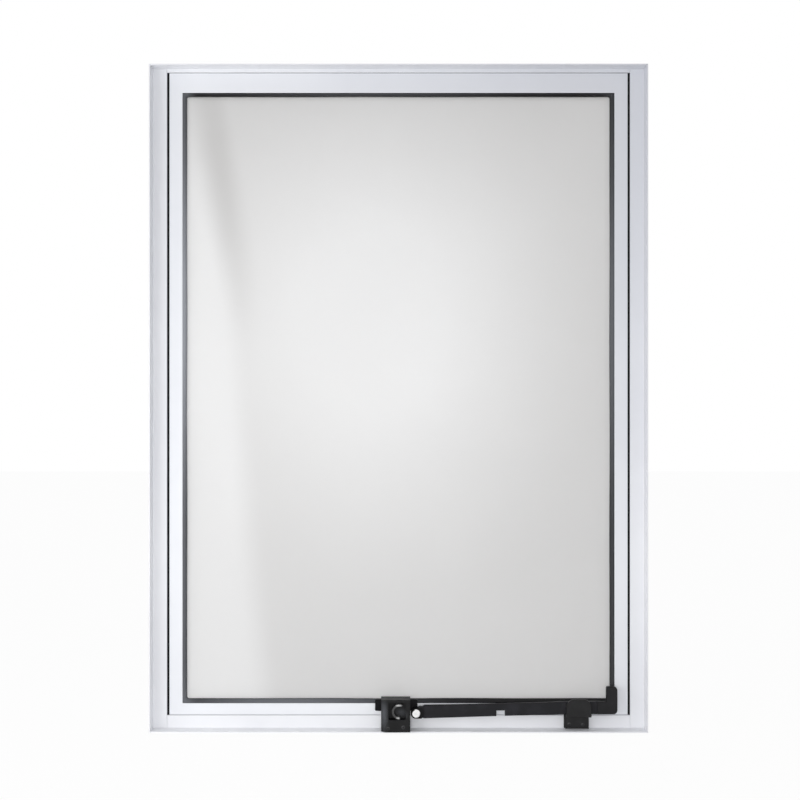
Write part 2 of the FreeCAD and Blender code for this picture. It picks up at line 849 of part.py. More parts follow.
def stay_bar():
    """The flat bar: a raised knuckle round the pin, a recessed neck, and a notch in its lower edge."""
    body = new_body("stay_bar")
    sketch = new_sketch(body, "XZ_Plane", lift=f"-{BAR_BACK}")
    crown, flat = ("pin_across + knuckle_crown", "pin_across + knuckle_flat")
    neck, root = ("pin_across + knuckle_reach", "pin_across + root_reach")
    middle = "pin_across + middle_reach"
    notch = f"{middle} + notch_step"
    slope = f"((middle_below - rest_below) / ({KEEPER_LEFT} - ({middle})))"
    notch_low = f"{PIN_UP} - middle_below + {slope}"
    add_outline(
        sketch,
        [
            ("pin_across", f"{PIN_UP} + eye_radius", "arc", "eye_radius", 1),
            ("pin_across - eye_radius", PIN_UP, "arc", "eye_radius", 1),
            ("pin_across", f"{PIN_UP} - eye_radius"),
            (flat, f"{PIN_UP} - eye_radius"),
            (neck, f"{PIN_UP} - neck_below"),
            (root, f"{PIN_UP} - root_below"),
            (middle, f"{PIN_UP} - middle_below"),
            (notch, f"{notch_low} * notch_step"),
            (notch, f"{PIN_UP} + notch_above"),
            (f"{notch} + notch_width", f"{PIN_UP} + notch_above"),
            (f"{notch} + notch_width", f"{notch_low} * (notch_step + notch_width)"),
            (KEEPER_LEFT, BAR_LOW),
            (BAR_END, f"{PIN_UP} - end_below"),
            (BAR_END, f"{PIN_UP} + end_above"),
            (KEEPER_LEFT, f"{PIN_UP} + rest_above"),
            (middle, f"{PIN_UP} + middle_above"),
            (root, f"{PIN_UP} + root_above"),
            (neck, f"{PIN_UP} + knuckle_above"),
            (crown, f"{PIN_UP} + knuckle_above"),
        ],
    )
    blank = pad(body, sketch, "bar_thickness")
    front = value_of(sketch, BAR_FRONT)
    end = value_of(sketch, BAR_END)
    rim = edges_where(blank, lambda edge: lies_at(edge, "Y", front) and not lies_at(edge, "X", end))
    dress(body, "Chamfer", blank, rim, "bar_chamfer")
    groove = new_sketch(body, "XZ_Plane", lift=f"-{BAR_FRONT}")
    low, high = (f"{PIN_UP} - root_reach", f"{PIN_UP} + root_reach")
    add_outline(groove, [(neck, low), (root, low), (root, high), (neck, high)])
    pocket(body, groove, "neck_recess")
    knuckle = new_sketch(body, "XZ_Plane", lift=f"-{BAR_FRONT}")
    add_outline(
        knuckle,
        [
            ("pin_across", f"{PIN_UP} + eye_radius", "arc", "eye_radius", 1),
            ("pin_across - eye_radius", PIN_UP, "arc", "eye_radius", 1),
            ("pin_across", f"{PIN_UP} - eye_radius"),
            (neck, f"{PIN_UP} - eye_radius", "knuckle_round"),
            (neck, f"{PIN_UP} + knuckle_above"),
            (crown, f"{PIN_UP} + knuckle_above"),
        ],
    )
    pad(body, knuckle, "eye_depth")
    bore = new_sketch(body, "XZ_Plane", lift=f"-{EYE_FRONT}")
    add_circle(bore, "pin_across", PIN_UP, "pin_radius + pin_clearance")
    pocket(body, bore, "eye_depth + bar_thickness")


def bar_grip():
    """The L-shaped hand grip at the bar's free end, its edges rounded for the hand."""
    body = new_body("bar_grip")
    middle = f"({BAR_BACK} + {BAR_FRONT}) / 2"
    sketch = new_sketch(body, "XZ_Plane", lift=f"-({middle} + grip_thickness / 2)")
    inside = f"{GRIP_END} - grip_limb"
    low, shoulder, top = (f"{PIN_UP} - end_below", f"{PIN_UP} + end_above", f"{PIN_UP} + grip_rise")
    add_outline(
        sketch,
        [
            (BAR_END, low),
            (GRIP_END, low, "grip_round"),
            (GRIP_END, top, "grip_round"),
            (inside, top, "grip_inner_round"),
            (inside, shoulder),
            (BAR_END, shoulder),
        ],
    )
    blank = pad(body, sketch, "grip_thickness")
    front = value_of(sketch, f"{middle} - grip_thickness / 2")
    back = value_of(sketch, f"{middle} + grip_thickness / 2")
    end = value_of(sketch, BAR_END)

    def rim(edge):
        flat = lies_at(edge, "Y", front) or lies_at(edge, "Y", back)
        return flat and not lies_at(edge, "X", end)

    dress(body, "Fillet", blank, edges_where(blank, rim), "grip_soft")


# Keeper


def keeper_plate():
    """The plate that holds the keeper on the sill's face, as high as the seat that the bar drops on."""
    body = new_body("keeper_plate")
    sketch = new_sketch(body, "XZ_Plane")
    left = f"{KEEPER_LEFT} - keeper_plate_shift"
    corners = ((left, FOOT), (PLATE_RIGHT, FOOT), (PLATE_RIGHT, KEEPER_SEAT), (left, KEEPER_SEAT))
    add_outline(sketch, [(*corner, "keeper_plate_round") for corner in corners])
    pad(body, sketch, "keeper_plate_thickness")


def keeper_clip():
    """The open-topped clip the bar drops into: back lip, floor and a tall rounded front wall.

    Its right end overhangs the narrower leg that is held to the plate.
    """
    body = new_body("keeper_clip")
    sketch = new_sketch(body, "YZ_Plane", lift=KEEPER_LEFT)
    back = "(0 - keeper_plate_thickness)"
    inner_back = f"({back} - keeper_back)"
    floor = KEEPER_SEAT
    under = f"{floor} - keeper_floor"
    crown = f"{PIN_UP} + keeper_rise"
    inner_front = f"({BAR_FRONT} - keeper_front_gap)"
    front = f"({inner_front} - keeper_front)"
    add_outline(
        sketch,
        [
            (back, FOOT),
            (back, f"{floor} + keeper_lip"),
            (inner_back, f"{floor} + keeper_lip"),
            (inner_back, floor),
            (inner_front, floor),
            (inner_front, crown),
            (front, crown),
            (front, under),
            (inner_back, under),
            (inner_back, FOOT),
        ],
    )
    pad(body, sketch, "keeper_width")
    step = new_sketch(body, "XZ_Plane", lift=f"-{front}")
    end = f"{KEEPER_LEFT} + keeper_width"
    add_outline(step, [(PLATE_RIGHT, FOOT), (end, FOOT), (end, under), (PLATE_RIGHT, under)])
    blank = pocket(body, step, f"{back} - {front}")
    top = value_of(sketch, crown)
    upper = edges_where(blank, lambda edge: lies_at(edge, "Z", top) and edge.BoundBox.YLength > 1)
    rounded = dress(body, "Fillet", blank, upper, "keeper_round")
    face = value_of(sketch, front)
    outer_rim = edges_where(rounded, lambda edge: lies_at(edge, "Y", face))
    dress(body, "Chamfer", rounded, outer_rim, "bar_chamfer")


# Guide on the sill


def bevel_section(body, height, width, depth):
    """The corner that the bevel takes off the housing's left front edge, at one height."""
    sketch = new_sketch(body, "XY_Plane", lift=height)
    front = "-(housing_depth + housing_lip_depth)"
    outside = f"{HOUSING_LEFT} - housing_lip_depth"
    add_outline(
        sketch,
        [
            (outside, front),
            (f"{HOUSING_LEFT} + {width}", front),
            (f"{HOUSING_LEFT} + {width}", "-housing_depth"),
            (HOUSING_LEFT, f"-housing_depth + {depth}"),
            (outside, f"-housing_depth + {depth}"),
        ],
    )
    sketch.Visibility = False
    return sketch


def guide_housing():
    """The black guide box: a left bevel that narrows at its foot, a top lip and an open slot in its face."""
    body = new_body("guide_housing")
    sketch = new_sketch(body, "YZ_Plane", lift=HOUSING_LEFT)
    back = f"({PLATE_FRONT} - bracket_thickness / 4)"
    add_outline(
        sketch,
        [
            ("0", FOOT),
            ("0", SHELF),
            (back, SHELF),
            (back, HOUSING_TOP),
            ("-(housing_depth + housing_lip_depth)", HOUSING_TOP, "housing_edge"),
            ("-(housing_depth + housing_lip_depth)", f"{HOUSING_TOP} - housing_lip"),
            ("-housing_depth", f"{HOUSING_TOP} - housing_lip"),
            ("-housing_depth", FOOT),
        ],
    )
    pad(body, sketch, "housing_width")
    under_lip = f"{HOUSING_TOP} - housing_lip"
    wide_end = f"{FOOT} + bevel_narrows_from"
    narrow_end = f"({wide_end} - bevel_narrows_by)"
    wide = ("housing_bevel", "housing_bevel_depth")
    narrow = ("foot_bevel", "foot_bevel_depth")
    pocket(body, bevel_section(body, under_lip, *wide), f"{under_lip} - ({wide_end})")
    before = body.Shape.Volume
    taper = body.newObject("PartDesign::SubtractiveLoft", "guide_housing_bevel_taper")
    taper.Profile = bevel_section(body, wide_end, *wide)
    taper.Sections = [bevel_section(body, narrow_end, *narrow)]
    doc.recompute()
    if body.Shape.Volume >= before:
        raise RuntimeError("the tapered bevel takes nothing away")
    pocket(body, bevel_section(body, narrow_end, *narrow), narrow_end)
    slot = new_sketch(body, "XZ_Plane", lift="housing_depth + housing_lip_depth")
    right = f"{GUIDE_LEFT} + guide_width"
    top = f"{GUIDE_LOW} + guide_height"
    add_outline(
        slot,
        [
            (GUIDE_LEFT, GUIDE_LOW, "guide_round"),
            (right, GUIDE_LOW, "guide_round"),
            (right, top, "guide_round"),
            (GUIDE_LEFT, top, "guide_round"),
        ],
    )
    pocket(body, slot, "guide_depth + housing_lip_depth")


def guide_hook():
    """The C-shaped hook in the guide's slot that the bar's notch drops on, open to the right."""
    body = new_body("guide_hook")
    seat = "housing_depth - guide_depth"
    sketch = new_sketch(body, "XZ_Plane", f"{GUIDE_LEFT} + hook_inset", f"{PIN_UP} + hook_rise", seat)
    inner = "(hook_outside - hook_band)"
    upper = ("cos(hook_upper_tip)", "sin(hook_upper_tip)")
    lower = ("cos(hook_lower_tip)", "-sin(hook_lower_tip)")
    add_outline(
        sketch,
        [
            (f"hook_outside * {upper[0]}", f"hook_outside * {upper[1]}", "arc", "hook_outside", 1),
            ("-hook_outside", "0", "arc", "hook_outside", 1),
            (f"hook_outside * {lower[0]}", f"hook_outside * ({lower[1]})"),
            (f"{inner} * {lower[0]}", f"{inner} * ({lower[1]})", "arc", inner, -1),
            (f"-{inner}", "0", "arc", inner, -1),
            (f"{inner} * {upper[0]}", f"{inner} * {upper[1]}"),
        ],
    )
    pad(body, sketch, "hook_depth")


def build():
    """Makes every piece in order."""
    fill_sheet()
    jamb("frame_left_jamb", -1)
    jamb("frame_right_jamb", 1)
    frame_sill()
    frame_head()
    for side, label in zip(SIDES, ("left_stile", "right_stile", "bottom_rail", "top_rail")):
        sash_member("sash_" + label, side)
    glass_pane()
    setting_blocks()
    for side in SIDES:
        inner_gasket(side)
        outer_gasket(side)
        glazing_bead(side)
    jamb_seal("weather_seal_left", -1)
    jamb_seal("weather_seal_right", 1)
    head_seal()
    sill_seal()
    sash_bracket()
    pivot_pin()
    stay_bar()
    bar_grip()
    keeper_plate()
    keeper_clip()
    guide_housing()
    guide_hook()
    doc.recompute()


def write_pieces():
    """Checks every object and writes each piece to its own file."""
    failed = [item.Name for item in doc.Objects if {"Invalid", "Error"} & set(item.State)]
    if failed:
        raise RuntimeError(f"objects failed: {failed}")
    os.makedirs("parts", exist_ok=True)
    for body in doc.findObjects("PartDesign::Body"):
        if body.Shape.isNull() or not body.Shape.isValid():
            raise RuntimeError(f"{body.Label} has no valid shape")
        body.Shape.exportStep(f"parts/{body.Label}.step")


build()
write_pieces()
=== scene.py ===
"""Looks of a top hung awning window: coated aluminium, an obscure pane, black gaskets and a black stay.

The frame is +Z up, +X to the right as seen from the room and +Y out of doors, in metres.
"""

import logging
import math
from dataclasses import dataclass
from enum import Enum

import bpy
import numpy as np
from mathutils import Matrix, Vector


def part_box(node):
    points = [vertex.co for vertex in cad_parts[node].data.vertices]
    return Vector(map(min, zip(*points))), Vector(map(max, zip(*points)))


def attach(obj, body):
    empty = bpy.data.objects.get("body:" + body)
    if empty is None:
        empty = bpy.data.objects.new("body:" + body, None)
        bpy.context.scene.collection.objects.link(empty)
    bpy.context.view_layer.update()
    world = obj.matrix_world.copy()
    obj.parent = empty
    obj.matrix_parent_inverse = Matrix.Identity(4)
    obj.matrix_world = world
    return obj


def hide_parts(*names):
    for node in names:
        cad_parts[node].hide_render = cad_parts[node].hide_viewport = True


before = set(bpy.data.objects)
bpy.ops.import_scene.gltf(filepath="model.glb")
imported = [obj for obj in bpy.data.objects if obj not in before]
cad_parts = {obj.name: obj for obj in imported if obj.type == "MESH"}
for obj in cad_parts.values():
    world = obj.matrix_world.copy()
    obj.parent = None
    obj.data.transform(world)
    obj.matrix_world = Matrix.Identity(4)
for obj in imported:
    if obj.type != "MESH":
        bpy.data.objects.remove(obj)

LOG = logging.getLogger("awning_window")
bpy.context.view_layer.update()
MM = 0.001
WHITE = (1.0, 1.0, 1.0, 1.0)

# How many finer layers a noise has
CLOUD_DETAIL = 3.0
GRAIN_DETAIL = 2.0
PEEL_DETAIL = 1.0

# A Mix node's colour sockets, by number because their names repeat for each kind of data
MIX_FIRST, MIX_SECOND, MIX_RESULT = 6, 7, 2


class Side(Enum):
    """The four sides of the sash."""

    LEFT = "left"
    RIGHT = "right"
    BOTTOM = "bottom"
    TOP = "top"


class Run(Enum):
    """The way an extrusion runs: how far its die lines are squeezed along X, Y and Z."""

    UPRIGHT = (1.0, 1.0, 0.004)
    ACROSS = (0.004, 1.0, 1.0)


# Shader expressions


class Wire:
    """An output socket whose arithmetic adds Math nodes to its tree."""

    def __init__(self, tree: bpy.types.NodeTree, socket: bpy.types.NodeSocket) -> None:
        """Keeps the tree and the socket that the value comes from."""
        self.tree = tree
        self.socket = socket

    def _math(self, operation: str, *terms: "Wire | float") -> "Wire":
        """A Math node on the terms.

        Args:
            operation: the Math node's operation.
            terms: values or wires, in the node's order.

        Returns:
            The node's result.
        """
        node = self.tree.nodes.new("ShaderNodeMath")
        node.operation = operation
        for place, term in zip(node.inputs, terms):
            if isinstance(term, Wire):
                self.tree.links.new(term.socket, place)
            else:
                place.default_value = float(term)
        return Wire(self.tree, node.outputs[0])

    def __add__(self, other: "Wire | float") -> "Wire":
        """The sum."""
        return self._math("ADD", self, other)

    __radd__ = __add__

    def __sub__(self, other: "Wire | float") -> "Wire":
        """The difference."""
        return self._math("SUBTRACT", self, other)

    def __rsub__(self, other: float) -> "Wire":
        """The difference, taken the other way round."""
        return self._math("SUBTRACT", other, self)

    def __mul__(self, other: "Wire | float") -> "Wire":
        """The product."""
        return self._math("MULTIPLY", self, other)

    __rmul__ = __mul__

    def sine(self) -> "Wire":
        """The sine, in radians."""
        return self._math("SINE", self)

    def larger(self, other: "Wire | float") -> "Wire":
        """The larger of the two."""
        return self._math("MAXIMUM", self, other)


# Every patch in this script marks where light or shade is painted into a colour.
@dataclass(frozen=True)
class Patch:
    """A soft patch on the XZ plane, in metres.

    It has a middle, half widths, a strength, and a slant along X for each metre of Z.
    """

    centre: tuple[float, float]
    reach: tuple[float, float]
    share: float
    lean: float = 0.0


class Recipe:
    """A material or a world being made: its tree, and the ways to add nodes to it."""

    def __init__(self, name: str, kind: str = "materials") -> None:
        """Starts an empty tree.

        Args:
            name: what the material or world is called.
            kind: "materials" or "worlds".
        """
        self.owner = getattr(bpy.data, kind).new(name)
        self.owner.use_nodes = True
        self.tree = self.owner.node_tree
        self.tree.nodes.clear()

    def node(
        self,
        kind: str,
        settings: dict[str, object] | None = None,
        inputs: dict[str | int, object] | None = None,
        output: str | int = 0,
    ) -> Wire:
        """Adds a node.

        Args:
            kind: the node's type.
            settings: its properties, set before its sockets.
            inputs: values or wires by socket name or number.
            output: the socket that the wire starts from.

        Returns:
            The chosen output.
        """
        made = self.tree.nodes.new(kind)
        for key, value in (settings or {}).items():
            setattr(made, key, value)
        for key, value in (inputs or {}).items():
            if isinstance(value, Wire):
                self.tree.links.new(value.socket, made.inputs[key])
            else:
                made.inputs[key].default_value = value
        return Wire(self.tree, made.outputs[output])

    def place(self) -> Wire:
        """Where a point lies on the window, in metres."""
        return self.node("ShaderNodeTexCoord", output="Object")

    def along(self, axis: str) -> Wire:
        """The place along one axis, named X, Y or Z."""
        return self.node("ShaderNodeSeparateXYZ", inputs={0: self.place()}, output=axis)

    def stretched(self, scale: tuple[float, float, float]) -> Wire:
        """The place with each axis scaled."""
        return self.node("ShaderNodeMapping", inputs={"Vector": self.place(), "Scale": scale})

    def noise(self, scale: float, detail: float = GRAIN_DETAIL, vector: Wire | None = None) -> Wire:
        """Soft noise from 0 to 1.

        Args:
            scale: waves in a metre.
            detail: how many finer layers it has.
            vector: where it is read, the plain place if left out.

        Returns:
            The noise's value.
        """
        inputs = {"Vector": vector or self.place(), "Scale": scale, "Detail": detail}
        return self.node("ShaderNodeTexNoise", inputs=inputs, output="Fac")

    def lobe(self, patch: Patch) -> Wire:
        """The shape of a soft patch: 1 at its centre, 0 from its rim outward.

        It is 1 minus the eased length of ((x - cx + lean * (z - cz)) / rx, (z - cz) / rz).

        Args:
            patch: where it lies, how wide it is and how it leans. Its share isn't used.

        Returns:
            The patch's value.
        """
        up = self.along("Z") - patch.centre[1]
        across = self.along("X") - patch.centre[0] + up * patch.lean
        flat = {"X": across * (1.0 / patch.reach[0]), "Y": up * (1.0 / patch.reach[1])}
        vector = self.node("ShaderNodeCombineXYZ", inputs=flat)
        length = self.node("ShaderNodeVectorMath", {"operation": "LENGTH"}, {0: vector}, "Value")
        return 1.0 - self.eased(length, 0.0, 1.0)

    def eased(self, value: Wire, low: float, high: float) -> Wire:
        """0 below low, 1 above high, and a smooth rise between them."""
        limits = {"Value": value, "From Min": low, "From Max": high}
        return self.node("ShaderNodeMapRange", {"interpolation_type": "SMOOTHSTEP"}, limits)

    def mixed(self, factor: Wire, first: tuple | Wire, second: tuple | Wire) -> Wire:
        """A colour between two, by the factor."""
        inputs = {0: factor, MIX_FIRST: first, MIX_SECOND: second}
        return self.node("ShaderNodeMix", {"data_type": "RGBA"}, inputs, MIX_RESULT)

    def bump(self, height: Wire, distance: float) -> Wire:
        """A normal tilted by a height field whose full rise is the distance, in metres."""
        return self.node("ShaderNodeBump", inputs={"Height": height, "Distance": distance}, output="Normal")

    def finish(self, inputs: dict[str, object]) -> bpy.types.Material:
        """Ends the material in a principled surface with these sockets."""
        return self.close(self.node("ShaderNodeBsdfPrincipled", inputs=inputs, output="BSDF"))

    def seen_plainly(self) -> Wire:
        """A switch for what the eye sees.

        Returns:
            1 where the eye looks directly, in a reflection or through glass, and 0 for other light.
        """
        names = ("Is Camera Ray", "Is Glossy Ray", "Is Transmission Ray")
        eye, gloss, through = (self.node("ShaderNodeLightPath", output=name) for name in names)
        return eye.larger(gloss).larger(through)

    def close(self, surface: Wire, kind: str = "ShaderNodeOutputMaterial") -> bpy.types.ID:
        """Ends the tree in a shader.

        Args:
            surface: the shader's wire.
            kind: the output node's type.

        Returns:
            The finished material or world.
        """
        end = self.tree.nodes.new(kind)
        self.tree.links.new(surface.socket, end.inputs["Surface"])
        return self.owner


def tint(red: float, green: float, blue: float, gain: float = 1.0) -> tuple[float, float, float, float]:
    """A display colour as linear light, by the sRGB standard's curve.

    Args:
        red: 0 to 255.
        green: 0 to 255.
        blue: 0 to 255.
        gain: a factor on the light.

    Returns:
        The colour with an alpha of 1.
    """
    shares = np.array([red, green, blue]) / 255.0
    linear = np.where(shares <= 0.04045, shares / 12.92, ((shares + 0.055) / 1.055) ** 2.4)
    return (*(float(part) * gain for part in linear), 1.0)


# Finishes


@dataclass(frozen=True)
class PowderCoat:
    """White satin powder coat over an extrusion's faint die lines, with painted shade that darkens it up and
    to the right.
    """

    name: str
    run: Run
    pale: tuple[float, float, float] = (245, 246, 249)
    dull: tuple[float, float, float] = (238, 239, 243)
    # Painted shade: the grey that the coat's colour darkens to, up and to the right.
    painted_shade_colour: tuple[float, float, float] = (218, 220, 226)
    cloud_waves: float = 7.0
    cloud_band: tuple[float, float] = (0.35, 0.7)
    # Where the painted shade grows: upward to this height, and more so towards the right.
    painted_shade_top: float = 0.8
    painted_shade_left: float = 0.3
    painted_shade_more: float = 0.65
    painted_shade_span: tuple[float, float] = (-0.25, 0.3)
    roughness: float = 0.3
    line_dulling: float = 0.1
    cloud_dulling: float = 0.05
    peel_waves: float = 900.0
    peel_rise: float = 0.012 * MM
    line_waves: float = 1400.0
    line_rise: float = 0.006 * MM

    def material(self) -> bpy.types.Material:
        """The coat: clouded white with painted shade that darkens it up and to the right, orange peel and
        die lines.

        Returns:
            The new material.
        """
        recipe = Recipe(self.name)
        cloud = recipe.eased(recipe.noise(self.cloud_waves, CLOUD_DETAIL), *self.cloud_band)
        white = recipe.mixed(cloud, tint(*self.pale), tint(*self.dull))
        upward = recipe.eased(recipe.along("Z"), 0.0, self.painted_shade_top)
        rightward = recipe.eased(recipe.along("X"), *self.painted_shade_span)
        # Painted shade: none at the bottom, growing upward and more so towards the right.
        painted_shade_mask = upward * (self.painted_shade_left + self.painted_shade_more * rightward)
        peel = recipe.noise(self.peel_waves, PEEL_DETAIL)
        lines = recipe.noise(self.line_waves, GRAIN_DETAIL, recipe.stretched(self.run.value))
        height = peel + lines * (self.line_rise / self.peel_rise)
        return recipe.finish(
            {
                "Base Color": recipe.mixed(painted_shade_mask, white, tint(*self.painted_shade_colour)),
                "Roughness": self.roughness + self.line_dulling * lines + self.cloud_dulling * cloud,
                "Normal": recipe.bump(height, self.peel_rise),
            }
        )


@dataclass(frozen=True)
class BlackFinish:
    """A black surface with a grain: rubber, moulded nylon or coated steel.

    The roughness is its least, which its clouds and grain add to.
    """

    name: str
    dark: tuple[float, float, float]
    worn: tuple[float, float, float]
    roughness: float
    grain_waves: float
    grain_rise: float
    specular: float
    # Patches of painted light: with a pale colour they are painted highlights, with a dark one painted
    # shade.
    painted_light_patches: tuple[Patch, ...] = ()
    painted_light_colour: tuple[float, float, float] = (128, 131, 137)
    painted_light_grain: float = 0.3
    cloud_waves: float = 60.0
    cloud_band: tuple[float, float] = (0.4, 0.75)
    cloud_dulling: float = 0.1
    dust_band: tuple[float, float] = (0.6, 0.8)
    dust_share: float = 0.35
    grain_dulling: float = 0.06

    def material(self) -> bpy.types.Material:
        """The black: two close shades in slow clouds, dust in the grain, patches of painted highlight and
        painted shade, and a bump.

        Returns:
            The new material.
        """
        recipe = Recipe(self.name)
        cloud = recipe.eased(recipe.noise(self.cloud_waves, CLOUD_DETAIL), *self.cloud_band)
        grain = recipe.noise(self.grain_waves)
        dust = recipe.eased(grain, *self.dust_band) * self.dust_share
        colour = recipe.mixed(cloud + dust, tint(*self.dark), tint(*self.worn))
        # Paints each patch of painted light into the colour, broken up a little by the grain.
        for patch in self.painted_light_patches:
            strength = patch.share - self.painted_light_grain * patch.share * grain
            colour = recipe.mixed(recipe.lobe(patch) * strength, colour, tint(*self.painted_light_colour))
        return recipe.finish(
            {
                "Base Color": colour,
                "Roughness": self.roughness + self.cloud_dulling * cloud + self.grain_dulling * grain,
                "Specular IOR Level": self.specular,
                "Normal": recipe.bump(grain, self.grain_rise),
            }
        )


@dataclass(frozen=True)
class TurnedSteel:
    """Bright steel with the fine rings that a lathe leaves round one axis along Y."""

    name: str
    centre: tuple[float, float]
    colour: tuple[float, float, float] = (232, 232, 233)
    ring_pitch: float = 0.35 * MM
    ring_rise: float = 0.004 * MM
    ring_dulling: float = 0.04
    middle_edge: tuple[float, float] = (1.0 * MM, 3.0 * MM)
    middle_gain: float = 0.9
    rim_polish: float = 0.03
    roughness: float = 0.18

    def material(self) -> bpy.types.Material:
        """The steel: rings in its bump and gloss, slightly darker at the middle.

        Returns:
            The new material.
        """
        recipe = Recipe(self.name)
        location = (-self.centre[0], 0.0, -self.centre[1])
        shift = {"Vector": recipe.place(), "Location": location, "Scale": (1.0, 0.0, 1.0)}
        flat = recipe.node("ShaderNodeMapping", inputs=shift)
        radius = recipe.node("ShaderNodeVectorMath", {"operation": "LENGTH"}, {0: flat}, "Value")
        rings = (radius * (2.0 * math.pi / self.ring_pitch)).sine() * 0.5 + 0.5
        outside = recipe.eased(radius, *self.middle_edge)
        darker = tint(*self.colour, gain=self.middle_gain)
        return recipe.finish(
            {
                "Base Color": recipe.mixed(outside, darker, tint(*self.colour)),
                "Metallic": 1.0,
                "Roughness": self.roughness + self.ring_dulling * rings - self.rim_polish * outside,
                "Normal": recipe.bump(rings, self.ring_rise),
            }
        )


@dataclass(frozen=True)
class ObscureGlass:
    """A satin pane that lets light through but no view, with painted light and painted shade in its colour.
    """

    name: str = "obscure_glass"
    pale: tuple[float, float, float] = (246, 246, 246)
    grey: tuple[float, float, float] = (205, 204, 203)
    plain: float = 0.53
    # Painted light: the glow, the pale strip, the slanting shade and the darker top and right are light and
    # shade painted into the pane's colour.
    glow: Patch = Patch((-0.03, 0.50), (0.31, 0.37), 0.57)
    painted_shade_band: Patch = Patch((-0.226, 0.70), (0.036, 0.27), 0.42, 0.19)
    painted_strip_share: float = 0.36
    painted_strip_lean: float = 0.1
    painted_strip_edge: tuple[float, float] = (-0.18, -0.138)
    painted_top_shade_share: float = 0.12
    painted_top_shade_span: tuple[float, float] = (0.6, 0.8)
    painted_right_shade_share: float = 0.07
    painted_right_shade_span: tuple[float, float] = (0.0, 0.28)
    cloud_waves: float = 9.0
    cloud_share: float = 0.06
    frost_waves: float = 1600.0
    frost_share: float = 0.02
    frost_rise: float = 0.01 * MM
    frost_dulling: float = 0.08
    roughness: float = 0.42
    clearness: float = 0.7
    refraction: float = 1.5

    def material(self) -> bpy.types.Material:
        """The pane: a painted glow in the middle, a painted pale strip on the left, a slanting band of
        painted shade, painted shade towards the top and right edges, and frosted grain.

        Returns:
            The new material.
        """
        recipe = Recipe(self.name)
        across, up = recipe.along("X"), recipe.along("Z")
        painted_pale_strip = 1.0 - recipe.eased(across + up * self.painted_strip_lean, *self.painted_strip_edge)
        top = recipe.eased(up, *self.painted_top_shade_span)
        right = recipe.eased(across, *self.painted_right_shade_span)
        # Painted highlight from the glow and the strip, less painted shade from the slanting band and the
        # top and right edges.
        light = self.plain + self.glow.share * recipe.lobe(self.glow) + self.painted_strip_share * painted_pale_strip
        dark = self.painted_shade_band.share * recipe.lobe(self.painted_shade_band) + self.painted_top_shade_share * top + self.painted_right_shade_share * right
        cloud = recipe.noise(self.cloud_waves, CLOUD_DETAIL) - 0.5
        frost = recipe.noise(self.frost_waves)
        factor = light - dark + cloud * self.cloud_share + (frost - 0.5) * self.frost_share
        return recipe.finish(
            {
                "Base Color": recipe.mixed(factor, tint(*self.grey), tint(*self.pale)),
                "Roughness": self.roughness + self.frost_dulling * frost,
                "Normal": recipe.bump(frost, self.frost_rise),
                "Transmission Weight": self.clearness,
                "IOR": self.refraction,
            }
        )


# Surfaces


def skin(
    name: str,
    grid: np.ndarray,
    wrap_rows: bool = False,
    wrap_columns: bool = False,
    poles: np.ndarray | None = None,
) -> bpy.types.Object:
    """A mesh of four-sided faces over a grid of points, with a fan of triangles to each pole.

    Face (i, j) joins points (i, j), (i + 1, j), (i + 1, j + 1) and (i, j + 1), and a wrapped edge counts
    round. Its normal is the way along the rows crossed with the way along the columns.

    Args:
        name: the piece's name.
        grid: points as (rows, columns, 3), in metres.
        wrap_rows: whether the last row joins the first.
        wrap_columns: whether the last column joins the first.
        poles: one point that closes the first row and one that closes the last, as (2, 3).

    Returns:
        The new object, smooth shaded.
    """
    rows, columns = grid.shape[:2]
    row = np.arange(rows if wrap_rows else rows - 1)[:, None]
    column = np.arange(columns if wrap_columns else columns - 1)[None, :]
    below, beside = (row + 1) % rows, (column + 1) % columns
    start, after = row * columns, below * columns
    corners = np.broadcast_arrays(start + column, after + column, after + beside, start + beside)
    faces = np.stack(corners, axis=-1).reshape(-1, 4).tolist()
    points = grid.reshape(-1, 3).tolist()
    if poles is not None:
        pole = len(points)
        points += poles.tolist()
        final = pole - columns
        for here in range(columns):
            there = (here + 1) % columns
            faces.append([pole, here, there])
            faces.append([final + here, pole + 1, final + there])
    mesh = bpy.data.meshes.new(name)
    mesh.from_pydata(points, [], faces)
    mesh.polygons.foreach_set("use_smooth", np.ones(len(faces), bool))
    mesh.update()
    piece = bpy.data.objects.new(name, mesh)
    bpy.context.scene.collection.objects.link(piece)
    return piece


def dress(material: bpy.types.Material, *nodes: str) -> None:
    """Gives CAD nodes a finish.

    Args:
        material: the finish.
        nodes: the nodes' names.
    """
    for name in nodes:
        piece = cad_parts[name]
        if not piece.material_slots:
            piece.data.materials.append(material)
        for slot in piece.material_slots:
            slot.material = material
        LOG.info("dressed %s in %s", name, material.name)


def place_piece(piece: bpy.types.Object, material: bpy.types.Material, body: str) -> None:
    """Finishes a new piece.

    Args:
        piece: the object.
        material: its finish.
        body: the CAD body that it rides on.
    """
    piece.data.materials.append(material)
    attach(piece, body)
    LOG.info("made %s with %d faces", piece.name, len(piece.data.polygons))


# Sub-assemblies


@dataclass(frozen=True)
class OuterFrame:
    """The jambs, head and sill that are fixed in the wall."""

    upright: PowderCoat = PowderCoat("frame_coat_upright", Run.UPRIGHT)
    across: PowderCoat = PowderCoat("frame_coat_across", Run.ACROSS)

    def build(self) -> None:
        """Coats the four members along their runs."""
        dress(self.upright.material(), "frame_left_jamb", "frame_right_jamb")
        dress(self.across.material(), "frame_head", "frame_sill")


SASH_PALE = (244, 246, 250)
SASH_DULL = (237, 239, 244)


